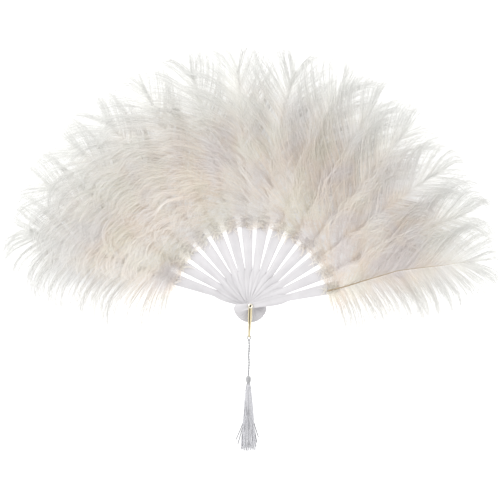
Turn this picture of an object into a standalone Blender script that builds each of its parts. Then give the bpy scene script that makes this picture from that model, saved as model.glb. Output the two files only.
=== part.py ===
"""Folding hand fan: fourteen ostrich plumes on white sticks, a brass eyelet, bail and tassel.

The fan lies open with its front up. Lengths are in metres, +Z is up and +Y runs from the pivot
towards the top of the open fan. The origin is on the pivot's axis at the height of the table.
"""

import math

import bmesh
import bpy
import numpy as np

MM = 0.001

# Sticks
STICKS = 14
FIRST_ANGLE = 161.0
LAST_ANGLE = 12.5
STICK_STEP = (FIRST_ANGLE - LAST_ANGLE) / (STICKS - 1)
STICK_THICKNESS = 1.2 * MM
STICK_PITCH = 1.5 * MM
STICK_END = 118 * MM
STICK_CORNER = 2.5 * MM
TAIL_REACH = 22 * MM
TAIL_RADIUS = 6.2 * MM
TAIL_ARC_POINTS = 6
# Distance from the pivot and half width: waist, leaf-shaped swelling, shoulder, flared blade.
STICK_SIDE = (
    (-5, 4.3), (1, 3.6), (9, 4.0), (17, 4.9), (25, 5.8), (33, 6.4), (41, 6.2),
    (48, 4.6), (52, 4.5), (97, 7.2),
)
BLADE_END_HALF_WIDTH = 8.0 * MM

# Eyelet
GAP = 0.3 * MM
SHANK_RADIUS = 1.6 * MM
BORE_RADIUS = SHANK_RADIUS + GAP
HEAD_RADIUS = 3.2 * MM
HEAD_THICKNESS = 0.8 * MM
RING_RADIUS = 3.25 * MM
RING_THICKNESS = 1.0 * MM
EYE_HOLE_RADIUS = 1.1 * MM
EYE_HOLE_DEPTH = 2.5 * MM
TURNED_STEPS = 16

# Bail
BAIL_THICKNESS = 0.8 * MM
BAIL_HALF_WIDTH = 2.4 * MM
BAIL_END_HALF_WIDTH = 1.1 * MM
BAIL_LEAN = -2.3
BAIL_EYE_REACH = 2.9 * MM
BAIL_BACK = HEAD_THICKNESS + GAP + BAIL_THICKNESS / 2
STACK_BASE = HEAD_THICKNESS + GAP + BAIL_THICKNESS + GAP
STACK_TOP = STACK_BASE + (STICKS - 1) * STICK_PITCH + STICK_THICKNESS
BAIL_FRONT = STACK_TOP + GAP + BAIL_THICKNESS / 2
RING_BASE = BAIL_FRONT + BAIL_THICKNESS / 2 + GAP
# The bend beyond the front leg, as distance below the pivot and height, down to the back leg.
BAIL_BEND = (
    (22, 23.6), (25, 23.4), (27.5, 22.4), (31, 19.2), (35, 14.7), (39, 10.2), (41, 8.1),
    (41.6, 7.0), (41.6, 4.0), (41.0, 2.9), (39.6, 2.0), (37, 1.5),
)

# Tassel
HITCH_RADIUS = 2.35 * MM
HITCH_CORD_RADIUS = 0.6 * MM
HITCH_REACH = 42.3 * MM
HITCH_HEIGHT = 5.5 * MM
CORD_RADIUS = 0.8 * MM
# The cord's way from the hitch down to the table and up into the tassel's head.
CORD_ROUTE = (
    (-1.83, -45.6, 5.5), (-1.75, -48.7, 5.3), (-1.55, -51.8, 4.7), (-1.45, -54.9, 3.8),
    (-1.60, -58.0, 2.8), (-1.95, -61.0, 1.9), (-2.20, -64.1, 1.3), (-2.25, -67.2, 1.0),
    (-2.05, -70.3, 0.9), (-1.80, -73.4, 0.9), (-1.75, -76.5, 0.9), (-1.95, -79.6, 1.0),
    (-2.20, -82.7, 1.3), (-2.40, -85.8, 1.8), (-2.55, -89.0, 2.6), (-2.60, -92.3, 3.3),
)
TASSEL_X = -2.6 * MM
TASSEL_HEAD_TOP = -92.6 * MM
TASSEL_AXIS_HEIGHT = 3.3 * MM
# Distance along the head and radius there.
TASSEL_HEAD = ((0, 1.0), (0.8, 2.4), (2.6, 3.2), (4.6, 3.2), (6.4, 2.6), (7.6, 1.9), (9.1, 1.8))
SKIRT_TOP = -102.0 * MM
# Distance along the skirt, half width and half height there.
SKIRT = (
    (0, 1.9, 1.8), (9, 3.9, 2.7), (22, 5.1, 3.2), (40, 6.4, 3.5), (56, 7.6, 3.6),
    (70, 8.8, 3.6), (80, 9.4, 3.3),
)
SKIRT_SIDES = 20
SKIRT_FLUTE = 0.07
SKIRT_END_STAGGER = 6 * MM

# Plumes
PLUME_START = 101 * MM
PLUME_RINGS = 22
PLUME_SIDES = 10
# Sideways lean of each tip in degrees, left being positive, and the tip's distance in mm.
PLUME_TIPS = (
    (0.4, 330), (-2.6, 324), (-2.2, 328), (0.3, 326), (0.2, 336), (-0.4, 328), (0.5, 332),
    (-2.5, 336), (-5.0, 334), (0.5, 328), (2.7, 332), (0.7, 326), (-0.9, 333), (-0.2, 328),
)
# Half width in mm at the lock tips, by share of the way from the base to the tip.
WIDTH_AT = (0, 0.015, 0.05, 0.10, 0.15, 0.21, 0.32, 0.43, 0.60, 0.73, 0.84, 0.93, 0.975, 1)
WIDTH_INSIDE = (0, 8, 10.2, 11.3, 19, 32, 42, 46, 50, 48, 41, 27, 14, 0)
WIDTH_FIRST = (0, 14, 30, 48, 60, 69, 78, 81, 78, 68, 51, 30, 15, 0)
WIDTH_LAST = (0, 14, 30, 40, 46, 50, 56, 61, 61, 53, 41, 24, 12, 0)
NOTCH = 0.80
RIDGE = 1.10
FURROW = 0.86
# By distance from the pivot in mm: half thickness, forward sweep of the locks as a share of
# the width, height of the plume's middle, and its sideways slope in mm a degree.
AT_THICKNESS = (101, 104, 118, 126, 136, 150, 180, 230, 280, 310, 340)
HALF_THICKNESS = (0.5, 1.3, 1.7, 2.4, 3.8, 4.8, 5.0, 4.8, 3.7, 2.6, 1.0)
AT_SWEEP = (101, 120, 150, 190, 330)
SWEEP = (-0.10, 0.05, 0.30, 0.48, 0.55)
AT_HEIGHT = (150, 240, 300, 340)
MIDDLE_HEIGHT = (13.5, 13.5, 11.5, 8.5)
AT_SLOPE = (116, 122, 128, 138, 230, 300, 340)
SLOPE = (0.0, 0.15, 0.62, 1.10, 1.10, 0.85, 0.60)
FULLER_LEFT = 2.2
LEAVES_STICK = (118, 155)

for old in list(bpy.data.objects):
    bpy.data.objects.remove(old, do_unlink=True)

fan = bpy.data.collections.new("ostrich_feather_hand_fan")
bpy.context.scene.collection.children.link(fan)
cutters = bpy.data.collections.new("cutters")
bpy.context.scene.collection.children.link(cutters)


def material(name, colour, roughness, metallic=0.0):
    """A Principled material of one colour."""
    made = bpy.data.materials.new(name)
    made.use_nodes = True
    shader = made.node_tree.nodes["Principled BSDF"]
    shader.inputs["Base Color"].default_value = (*colour, 1.0)
    shader.inputs["Roughness"].default_value = roughness
    shader.inputs["Metallic"].default_value = metallic
    return made


def add(name, data, look, collection=fan, parent=None):
    """A named object with its own material in a collection."""
    piece = bpy.data.objects.new(name, data)
    collection.objects.link(piece)
    if look:
        data.materials.append(look)
    piece.parent = parent
    return piece


def add_pivot(name, angle):
    """An empty on the pivot's axis, turned to an angle in degrees."""
    pivot = bpy.data.objects.new(name, None)
    fan.objects.link(pivot)
    pivot.rotation_euler.z = math.radians(angle)
    return pivot


def turned(name, profile, look, axis="Z", steps=TURNED_STEPS):
    """A piece turned from a profile of radius and height, listed from its top down."""
    mesh = bpy.data.meshes.new(name)
    if axis == "Z":
        points = [(radius, 0, height) for radius, height in profile]
    else:
        points = [(radius, height, 0) for radius, height in profile]
    mesh.from_pydata(points, [(i, i + 1) for i in range(len(points) - 1)], [])
    piece = add(name, mesh, look)
    screw = piece.modifiers.new("turn", "SCREW")
    screw.axis = axis
    screw.steps = steps
    screw.render_steps = steps
    screw.use_merge_vertices = True
    screw.merge_threshold = 0.00001
    return piece


def stick_angle(index):
    """Direction of a stick in degrees, the first one being the leftmost and lowest."""
    return FIRST_ANGLE - index * STICK_STEP


def stick_base(index):
    """Height of a stick's underside."""
    return STACK_BASE + index * STICK_PITCH


def stick_outline():
    """Half of a stick's outline on its left side, from the tail round to the outer end."""
    side = [(x * MM, y * MM) for x, y in STICK_SIDE]
    centre = -TAIL_REACH + TAIL_RADIUS
    turns = np.linspace(math.pi, math.radians(62), TAIL_ARC_POINTS)
    tail = [(centre + TAIL_RADIUS * math.cos(a), TAIL_RADIUS * math.sin(a)) for a in turns]
    corner_x = STICK_END - STICK_CORNER
    corner_y = BLADE_END_HALF_WIDTH - STICK_CORNER
    corner = []
    for turn in np.linspace(math.pi / 2, 0, 3):
        x = corner_x + STICK_CORNER * math.cos(turn)
        corner.append((x, corner_y + STICK_CORNER * math.sin(turn)))
    return tail + side + corner


def make_stick(index, look):
    """A flat fan stick along its own +X with a round bore at the pivot."""
    name = f"stick_{index + 1:02d}"
    flat = bpy.data.curves.new(name, "CURVE")
    flat.dimensions = "2D"
    flat.fill_mode = "BOTH"
    flat.extrude = STICK_THICKNESS / 2
    left = stick_outline()
    right = [(x, -y) for x, y in reversed(left[1:])]
    bore = []
    for turn in np.linspace(0, 2 * math.pi, 12, endpoint=False):
        bore.append((BORE_RADIUS * math.cos(turn), BORE_RADIUS * math.sin(turn)))
    for outline in (left + right, bore):
        line = flat.splines.new("POLY")
        line.points.add(len(outline) - 1)
        for point, (x, y) in zip(line.points, outline):
            point.co = (x, y, 0, 1)
        line.use_cyclic_u = True
    pivot = add_pivot(f"pivot_{index + 1:02d}", stick_angle(index))
    stick = add(name, flat, look, parent=pivot)
    stick.location.z = stick_base(index) + STICK_THICKNESS / 2
    return stick


def make_pin(look):
    """The eyelet: a flat head below, a shank through the sticks and a flared ring on top."""
    top = RING_BASE + RING_THICKNESS
    edge = 0.3 * MM
    profile = [
        (0, top - EYE_HOLE_DEPTH),
        (EYE_HOLE_RADIUS, top - EYE_HOLE_DEPTH),
        (EYE_HOLE_RADIUS, top - edge),
        (EYE_HOLE_RADIUS + edge, top),
        (RING_RADIUS - 2 * edge, top),
        (RING_RADIUS, top - 1.5 * edge),
        (RING_RADIUS, RING_BASE),
        (SHANK_RADIUS, RING_BASE),
        (SHANK_RADIUS, HEAD_THICKNESS),
        (HEAD_RADIUS, HEAD_THICKNESS),
        (HEAD_RADIUS, edge),
        (HEAD_RADIUS - edge, 0),
        (0, 0),
    ]
    return turned("pivot_pin", profile, look)


def bail_path():
    """The middle of the bail's strip, as distance below the pivot and height."""
    front = [(-BAIL_EYE_REACH, BAIL_FRONT), (-2 * MM, BAIL_FRONT), (-1 * MM, BAIL_FRONT)]
    front += [(3 * MM, BAIL_FRONT), (12 * MM, BAIL_FRONT)]
    bend = [(reach * MM, height * MM) for reach, height in BAIL_BEND]
    back = [(reach, BAIL_BACK) for reach, _ in reversed(front)]
    return front + bend + [(24 * MM, BAIL_BACK)] + back


def bail_half_width(reach):
    """Half width of the strip: round round the pin, then wide, then narrow at the bend."""
    if reach < 0:
        return math.sqrt(max(BAIL_EYE_REACH**2 - reach**2, (0.9 * MM) ** 2))
    ends = (0, 3 * MM, 20 * MM, 25 * MM, 39 * MM, 41 * MM)
    widths = (BAIL_EYE_REACH, BAIL_HALF_WIDTH, BAIL_HALF_WIDTH, 1.4 * MM, 1.3 * MM,
              BAIL_END_HALF_WIDTH)
    return float(np.interp(reach, ends, widths))


def make_bail(look, pivot):
    """A brass strip bent into a stirrup, with a hole for the pin near both its ends."""
    path = bail_path()
    shape = bmesh.new()
    bmesh.ops.create_grid(shape, x_segments=2, y_segments=len(path) - 1, size=0.5)
    for vertex in shape.verts:
        reach, height = path[round((vertex.co.y + 0.5) * (len(path) - 1))]
        across = 2 * vertex.co.x * bail_half_width(reach)
        vertex.co = (across, -reach, height)
    mesh = bpy.data.meshes.new("bail")
    shape.to_mesh(mesh)
    shape.free()
    bail = add("bail", mesh, look, parent=pivot)
    thick = bail.modifiers.new("thickness", "SOLIDIFY")
    thick.thickness = BAIL_THICKNESS
    thick.offset = 0
    thick.use_even_offset = True
    thick.thickness_clamp = 0
    bpy.ops.mesh.primitive_cylinder_add(
        vertices=16, radius=BORE_RADIUS, depth=2 * RING_BASE, location=(0, 0, RING_BASE / 2)
    )
    bore = bpy.context.object
    bore.name = "bail_bore_cutter"
    bpy.context.collection.objects.unlink(bore)
    cutters.objects.link(bore)
    bore.hide_render = True
    bore.display_type = "WIRE"
    cut = bail.modifiers.new("bore", "BOOLEAN")
    cut.operation = "DIFFERENCE"
    cut.object = bore
    return bail


def make_hitch(look, pivot):
    """The cord's loop round the closed end of the bail."""
    bpy.ops.mesh.primitive_torus_add(
        major_segments=16, minor_segments=6,
        major_radius=HITCH_RADIUS, minor_radius=HITCH_CORD_RADIUS,
        location=(0, -HITCH_REACH, HITCH_HEIGHT),
    )
    hitch = bpy.context.object
    hitch.name = "tassel_hitch"
    bpy.context.collection.objects.unlink(hitch)
    fan.objects.link(hitch)
    hitch.data.materials.append(look)
    hitch.parent = pivot
    return hitch


def make_cord(look):
    """The cord between the hitch and the tassel's head."""
    tube = bpy.data.curves.new("tassel_cord", "CURVE")
    tube.dimensions = "3D"
    tube.bevel_depth = CORD_RADIUS
    tube.bevel_resolution = 2
    tube.use_fill_caps = True
    line = tube.splines.new("POLY")
    line.points.add(len(CORD_ROUTE) - 1)
    for point, place in zip(line.points, CORD_ROUTE):
        point.co = (*(value * MM for value in place), 1)
    return add("tassel_cord", tube, look)


def make_tassel_head(look):
    """The wound head of the tassel with its neck, lying along -Y."""
    profile = [(radius * MM, -along * MM) for along, radius in TASSEL_HEAD]
    profile = [(0, 0)] + profile + [(0, profile[-1][1])]
    head = turned("tassel_head", profile, look, axis="Y", steps=12)
    head.location = (TASSEL_X, TASSEL_HEAD_TOP, TASSEL_AXIS_HEIGHT)
    return head


def make_skirt(look):
    """The bundle of hanging threads: a fluted oval bell lying on the table."""
    shape = bmesh.new()
    bmesh.ops.create_uvsphere(shape, u_segments=SKIRT_SIDES, v_segments=len(SKIRT) + 1, radius=1)
    for vertex in shape.verts:
        latitude = math.acos(max(-1.0, min(1.0, vertex.co.z))) / math.pi * (len(SKIRT) + 1)
        row = min(max(round(latitude) - 1, 0), len(SKIRT) - 1)
        pole = abs(vertex.co.z) > 0.999
        along, width, height = (value * MM for value in SKIRT[row])
        turn = math.atan2(vertex.co.y, vertex.co.x)
        thread = round(turn / (2 * math.pi) * SKIRT_SIDES)
        flute = 1 + SKIRT_FLUTE * (-1) ** thread * (row > 0)
        axis_height = max(height * (1 + SKIRT_FLUTE), TASSEL_AXIS_HEIGHT * (1 - along / (40 * MM)))
        if row == len(SKIRT) - 1 and not pole:
            along += SKIRT_END_STAGGER * (0.5 + 0.5 * math.sin(2.6 * thread))
        spread = 0 if pole else flute
        x = TASSEL_X + width * spread * math.cos(turn)
        z = axis_height + height * spread * math.sin(turn)
        vertex.co = (x, SKIRT_TOP - along, z)
    bmesh.ops.reverse_faces(shape, faces=shape.faces)
    mesh = bpy.data.meshes.new("tassel_skirt")
    shape.to_mesh(mesh)
    shape.free()
    return add("tassel_skirt", mesh, look)


def smooth_step(value, low, high):
    """0 below low, 1 above high and an S-curve between."""
    share = min(max((value - low) / (high - low), 0.0), 1.0)
    return share * share * (3 - 2 * share)


def plume_levels(index, reach, lean):
    """Height of a plume's middle and its half thickness above and below it.

    reach is the distance from the pivot in mm and lean the angle in degrees left of the stick.
    Each plume slopes down to the right, where the next plume lies over it.
    """
    half = float(np.interp(reach, AT_THICKNESS, HALF_THICKNESS))
    slope = float(np.interp(reach, AT_SLOPE, SLOPE))
    bed = (stick_base(index) + STICK_THICKNESS + GAP) / MM + 0.05 + half
    loose = float(np.interp(reach, AT_HEIGHT, MIDDLE_HEIGHT))
    share = smooth_step(reach, *LEAVES_STICK)
    middle = bed + (loose - bed) * share
    above = half
    below = half
    if index == 0 and lean > -2:
        # The lowest plume has nothing under it, so it fills the space down to the table.
        outer = max(lean - 5, 0)
        middle += slope * (min(lean, 5) - 0.45 * outer)
        below += share * smooth_step(lean, -2, 6) * 6
    elif index == STICKS - 1 and lean < 0:
        # The top plume has nothing over it, so its outer side is fuller.
        middle += 0.62 * slope * lean
        above += share * smooth_step(-lean, 0, 6) * 2
        below += share * smooth_step(-lean, 2, 8) * 3
    else:
        middle += slope * lean
    if index > 0:
        # The left vane lies on its neighbour with nothing over it, so its top is fuller.
        above *= 1 + FULLER_LEFT * share * smooth_step(lean, 1.5, 8)
    return middle, above, below


def plume_side_width(index, side, share):
    """Half width at the lock tips on one side, in mm."""
    widths = WIDTH_INSIDE
    if index == 0 and side > 0:
        widths = WIDTH_FIRST
    if index == STICKS - 1 and side < 0:
        widths = WIDTH_LAST
    return float(np.interp(share, WIDTH_AT, widths))


def make_plume(index, look):
    """One feather: a round form along the quill, drawn out into swept locks on both sides."""
    shape = bmesh.new()
    bmesh.ops.create_uvsphere(
        shape, u_segments=PLUME_SIDES, v_segments=PLUME_RINGS, radius=1
    )
    start = PLUME_START / MM
    tip_lean, tip = PLUME_TIPS[index]
    for vertex in shape.verts:
        share = math.acos(max(-1.0, min(1.0, vertex.co.z))) / math.pi
        ring = round(share * PLUME_RINGS)
        turn = math.atan2(vertex.co.y, vertex.co.x)
        across = math.cos(turn)
        over = math.sin(turn)
        if ring in (0, PLUME_RINGS):
            across = 0
            over = 0
        wide = plume_side_width(index, across, share)
        if ring % 2:
            wide *= NOTCH
        quill = start + (tip - start) * share
        sweep = float(np.interp(quill, AT_SWEEP, SWEEP))
        along = quill + sweep * wide * abs(across) ** 1.5
        sideways = across * wide
        reach = math.hypot(along, sideways)
        lean = math.degrees(math.atan2(sideways, along))
        lean += tip_lean * max((reach - start) / (tip - start), 0) ** 2
        middle, above, below = plume_levels(index, reach, lean)
        rise = (RIDGE, FURROW)[ring % 2] * (above if over > 0 else below) * over
        height = max(middle + rise, 0)
        angle = math.radians(stick_angle(index) + lean)
        vertex.co = (reach * MM * math.cos(angle), reach * MM * math.sin(angle), height * MM)
    bmesh.ops.reverse_faces(shape, faces=shape.faces)
    name = f"plume_{index + 1:02d}"
    mesh = bpy.data.meshes.new(name)
    shape.to_mesh(mesh)
    shape.free()
    return add(name, mesh, look)


def shade_round(piece):
    """Smooth shading with the sharp edges kept."""
    piece.data.shade_smooth()
    piece.data.set_sharp_from_angle(angle=math.radians(35))


stick_white = material("stick_plastic", (0.87, 0.86, 0.88), 0.38)
brass = material("brass", (0.80, 0.66, 0.36), 0.25, 1.0)
bright_brass = material("eyelet_brass", (0.84, 0.76, 0.58), 0.22, 1.0)
plume_white = material("plume", (0.86, 0.82, 0.77), 0.85)
cord_white = material("cord", (0.80, 0.80, 0.82), 0.6)
thread_white = material("thread", (0.83, 0.83, 0.86), 0.5)

for number in range(STICKS):
    make_stick(number, stick_white.copy())
    make_plume(number, plume_white.copy())
shade_round(make_pin(bright_brass))
bail_pivot = add_pivot("bail_pivot", BAIL_LEAN)
make_bail(brass, bail_pivot)
shade_round(make_hitch(cord_white.copy(), bail_pivot))
make_cord(cord_white)
shade_round(make_tassel_head(thread_white.copy()))
make_skirt(thread_white)
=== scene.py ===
import math

import bpy
import numpy as np
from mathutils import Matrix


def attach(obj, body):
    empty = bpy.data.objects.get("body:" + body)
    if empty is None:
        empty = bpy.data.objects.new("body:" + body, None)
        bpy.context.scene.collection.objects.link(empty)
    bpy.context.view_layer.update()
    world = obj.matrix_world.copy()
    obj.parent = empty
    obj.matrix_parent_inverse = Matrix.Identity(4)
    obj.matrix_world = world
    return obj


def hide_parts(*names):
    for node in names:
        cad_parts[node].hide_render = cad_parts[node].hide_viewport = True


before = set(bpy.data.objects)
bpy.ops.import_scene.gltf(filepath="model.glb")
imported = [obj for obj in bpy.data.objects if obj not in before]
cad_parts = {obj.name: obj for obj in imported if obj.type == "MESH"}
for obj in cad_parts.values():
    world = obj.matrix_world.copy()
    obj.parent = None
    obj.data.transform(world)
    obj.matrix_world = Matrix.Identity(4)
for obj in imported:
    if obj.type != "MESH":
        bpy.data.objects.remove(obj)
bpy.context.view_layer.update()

# Camera, table and light. The fan lies open on its back on a white table, and the camera looks
# straight down on it from well above, as the photograph does. Two large soft lamps and a pale
# surround light it from all round, so that no shadow is hard.
CAMERA_HEIGHT = 1.547
CAMERA_PLACE = (-0.0005, 0.0723)
bpy.ops.object.select_all(action="DESELECT")
bpy.ops.object.camera_add(location=(*CAMERA_PLACE, CAMERA_HEIGHT), rotation=(0, 0, 0))
camera = bpy.context.object
camera.name = "camera_above"
camera.data.lens = 85
camera.data.sensor_width = 36
bpy.context.scene.camera = camera


def set_sockets(node, **values):
    """Sets values on a node's sockets, whose names are written here with _ for a space."""
    for socket, value in values.items():
        node.inputs[socket.replace("_", " ")].default_value = value
    return node


def add_node(nodes, kind, settings=None, **values):
    """A new node of a kind, with its settings and the values on its sockets."""
    node = nodes.new("ShaderNode" + kind)
    for setting, value in (settings or {}).items():
        setattr(node, setting, value)
    return set_sockets(node, **values)


def link(start, output, end, socket):
    """Links an output of one node to a socket of another."""
    start.id_data.links.new(start.outputs[output], end.inputs[socket])


def new_finish(name, **values):
    """A new material, its nodes, and its main shader with the values on its sockets."""
    finish = bpy.data.materials.new(name)
    finish.use_nodes = True
    nodes = finish.node_tree.nodes
    return finish, nodes, set_sockets(nodes["Principled BSDF"], **values)


TABLE_DROP = 0.0004
bpy.ops.mesh.primitive_plane_add(size=8, location=(0, 0, -TABLE_DROP))
table = bpy.context.object
table.name = "table_top"
table_white, nodes, shader = new_finish(
    "table_white", Base_Color=(0.5, 0.5, 0.5, 1), Roughness=0.9, Specular_IOR_Level=0.1,
    Emission_Color=(1, 1, 1, 1),
)
table.data.materials.append(table_white)
# The table glows like a light box where it shows, and half as much under the plumes' thick ring.
# That shade grows between the first two distances from the pivot, fades between the last two,
# and is none below the pivot.
SHADED_RING = (0.100, 0.118, 0.230, 0.315)
SHADED_ABOVE = (0.005, 0.045)
GLOW = 0.8
GLOW_UNDER_PLUMES = 0.38
place = add_node(nodes, "TexCoord")
sides = add_node(nodes, "SeparateXYZ")
distance = add_node(nodes, "VectorMath", {"operation": "LENGTH"})
link(place, "Object", distance, 0)
link(place, "Object", sides, "Vector")
shaded = None
for measure, output, low, high in (
    (distance, "Value", SHADED_RING[0], SHADED_RING[1]),
    (distance, "Value", SHADED_RING[3], SHADED_RING[2]),
    (sides, "Y", *SHADED_ABOVE),
):
    mask = add_node(nodes, "MapRange", {"interpolation_type": "SMOOTHSTEP"}, From_Min=low, From_Max=high)
    link(measure, output, mask, "Value")
    if shaded:
        both = add_node(nodes, "Math", {"operation": "MULTIPLY"})
        link(shaded, 0, both, 0)
        link(mask, 0, both, 1)
        mask = both
    shaded = mask
glow = add_node(nodes, "MapRange", To_Min=GLOW, To_Max=GLOW_UNDER_PLUMES)
link(shaded, 0, glow, "Value")
link(glow, 0, shader, "Emission Strength")

for name, place, size, power in (
    ("soft_lamp_left", (-1.3, 1.2, 1.9), 1.8, 34),
    ("soft_lamp_right", (1.5, -0.6, 2.1), 2.0, 12),
):
    bpy.ops.object.light_add(type="AREA", location=place)
    lamp = bpy.context.object
    lamp.name = name
    lamp.data.size = size
    lamp.data.energy = power
    aim = -lamp.location
    lamp.rotation_euler = aim.to_track_quat("-Z", "Y").to_euler()
surround = bpy.data.worlds.new("pale_surround")
surround.use_nodes = True
set_sockets(surround.node_tree.nodes["Background"], Color=(1, 1, 1, 1), Strength=0.92)
bpy.context.scene.world = surround
bpy.context.scene.view_settings.view_transform = "Standard"

# Tassel cord. Two plies of white rayon are twisted into a cord that hangs from the knot on the
# bail, sags to the table and runs up into the tassel's head. It is 48 mm long, as the
# photograph shows it from end to end, and moves with the bail.
CORD_ROUTE = [
    (-0.00183, -0.0456, 0.0055), (-0.00175, -0.0487, 0.0053), (-0.00155, -0.0518, 0.0047),
    (-0.00145, -0.0549, 0.0038), (-0.00160, -0.0580, 0.0028), (-0.00195, -0.0610, 0.0019),
    (-0.00220, -0.0641, 0.0013), (-0.00225, -0.0672, 0.0010), (-0.00205, -0.0703, 0.0009),
    (-0.00180, -0.0734, 0.0009), (-0.00175, -0.0765, 0.0009), (-0.00195, -0.0796, 0.0010),
    (-0.00220, -0.0827, 0.0013), (-0.00240, -0.0858, 0.0018), (-0.00255, -0.0890, 0.0026),
    (-0.00260, -0.0923, 0.0033),
]
CORD_STEPS = 120
CORD_TWIST_LENGTH = 0.0075
PLIES = 2
PLY_RADIUS = 0.00062
PLY_OFFSET = 0.00050
# The plies part a little where the cord has been untwisted, a quarter of the way down.
UNTWISTED_AT = 0.012
UNTWISTED_LENGTH = 0.003
UNTWISTED_GAP = 0.00035


def unit(vectors, spare=0):
    """The vectors at a length of 1; a spare keeps one that has no length from failing."""
    return vectors / (np.linalg.norm(vectors, axis=-1)[..., None] + spare)


def swing(turn, across, over):
    """A direction that is turned from one way across something towards the other."""
    return np.cos(turn)[..., None] * across + np.sin(turn)[..., None] * over


def along_route(points, count):
    """Evenly spaced points along the straight runs between points, with the way they face."""
    points = np.array(points, float)
    steps = np.linalg.norm(np.diff(points, axis=0), axis=1)
    distance = np.concatenate([[0], np.cumsum(steps)])
    at = np.linspace(0, distance[-1], count)
    place = np.stack([np.interp(at, distance, points[:, k]) for k in range(3)], axis=1)
    return place, unit(np.gradient(place, axis=0)), at


def round_strand(centres, radii, sides):
    """Points and faces of a closed round strand that follows centres, capped at both ends."""
    rings = len(centres)
    facing = unit(np.gradient(centres, axis=0), 1e-12)
    up = np.tile([0.0, 0.0, 1.0], (rings, 1))
    up[np.abs(facing[:, 2]) > 0.9] = (1, 0, 0)
    side = unit(np.cross(facing, up))
    over = np.cross(side, facing)
    turn = np.linspace(0, 2 * math.pi, sides, endpoint=False)
    radii = np.broadcast_to(radii, rings)[:, None, None]
    points = centres[:, None] + radii * swing(turn, side[:, None], over[:, None])
    row = np.arange(rings - 1)[:, None] * sides
    here = row + np.arange(sides)
    after = row + (np.arange(sides) + 1) % sides
    walls = np.stack([here, here + sides, after + sides, after], axis=-1)
    faces = walls.reshape(-1, 4).tolist()
    faces.append(list(range(sides)))
    faces.append(list(range((rings - 1) * sides, rings * sides))[::-1])
    return points.reshape(-1, 3), faces


def place_mesh(name, mesh):
    """Puts a mesh into the scene as a piece at the origin."""
    piece = bpy.data.objects.new(name, mesh)
    bpy.context.collection.objects.link(piece)
    return piece


def joined_piece(name, strands, finish):
    """One piece made of many small strands."""
    points = []
    faces = []
    count = 0
    for strand_points, strand_faces in strands:
        points.append(strand_points)
        faces += [[corner + count for corner in face] for face in strand_faces]
        count += len(strand_points)
    mesh = bpy.data.meshes.new(name)
    mesh.from_pydata(np.concatenate(points).tolist(), [], faces)
    mesh.materials.append(finish)
    mesh.shade_smooth()
    return place_mesh(name, mesh)


def add_ramp(nodes, *stops):
    """A ramp of colours, each given with its place."""
    ramp = nodes.new("ShaderNodeValToRGB")
    ends = list(ramp.color_ramp.elements)
    for place, colour in stops:
        stop = ends.pop(0) if ends else ramp.color_ramp.elements.new(place)
        stop.position = place
        stop.color = (*colour, 1)
    return ramp


def thread_finish(name, colour, roughness):
    """Silky rayon: fine light and dark flecks with a little relief, and a soft sheen."""
    finish, nodes, shader = new_finish(
        name, Roughness=roughness, Sheen_Weight=0.15, Specular_IOR_Level=0.45
    )
    place = add_node(nodes, "TexCoord")
    flecks = add_node(nodes, "TexNoise", Scale=900, Detail=3)
    ramp = add_ramp(nodes, (0.3, [0.78 * c for c in colour]), (0.7, colour))
    bump = add_node(nodes, "Bump", Strength=0.25, Distance=0.0002)
    link(place, "Object", flecks, "Vector")
    link(flecks, "Fac", ramp, "Fac")
    link(ramp, "Color", shader, "Base Color")
    link(flecks, "Fac", bump, "Height")
    link(bump, "Normal", shader, "Normal")
    return finish


# The white cord is coloured grey, as painted shade on its thin round plies.
cord_white_painted_shade = thread_finish("cord_white_painted_shade", (0.38, 0.38, 0.39), 0.55)
place, facing, at = along_route(CORD_ROUTE, CORD_STEPS)
across = unit(np.cross(facing, (0, 0, 1.0)))
over = np.cross(across, facing)
plies = []
for ply in range(PLIES):
    turn = 2 * math.pi * at / CORD_TWIST_LENGTH + ply * math.pi
    apart = PLY_OFFSET + UNTWISTED_GAP * np.exp(-(((at - UNTWISTED_AT) / UNTWISTED_LENGTH) ** 2))
    centres = place + apart[:, None] * swing(turn, across, over)
    centres[:, 2] = np.maximum(centres[:, 2], PLY_RADIUS)
    plies.append(round_strand(centres, PLY_RADIUS, 8))
tassel_cord = joined_piece("tassel_cord_twist", plies, cord_white_painted_shade)
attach(tassel_cord, "bail")
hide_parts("tassel_cord")

# Hitch. The cord's own end is looped round the closed end of the bail and bound with a small
# round knot, from which the cord hangs.
BAIL_LEAN = math.radians(-2.3)
HITCH_REACH = 0.0423
HITCH_HEIGHT = 0.0055
HITCH_RADIUS = 0.00235
HITCH_STEPS = 72
HITCH_TWISTS = 7
HITCH_PLY_RADIUS = 0.00033
HITCH_PLY_OFFSET = 0.00028
KNOT_TURNS = 3
KNOT_RADIUS = 0.00092
KNOT_STRAND_RADIUS = 0.00042
KNOT_ABOVE = 0.0009
KNOT_BELOW = 0.0011


def coil(x, start, end, z, radius, turns, steps):
    """Centre line of a thread that is wound along Y from a start to an end."""
    turn = np.linspace(0, turns * 2 * math.pi, steps)
    along = np.linspace(start, end, steps)
    return np.stack([x + radius * np.cos(turn), along, z + radius * np.sin(turn)], axis=1)


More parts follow.
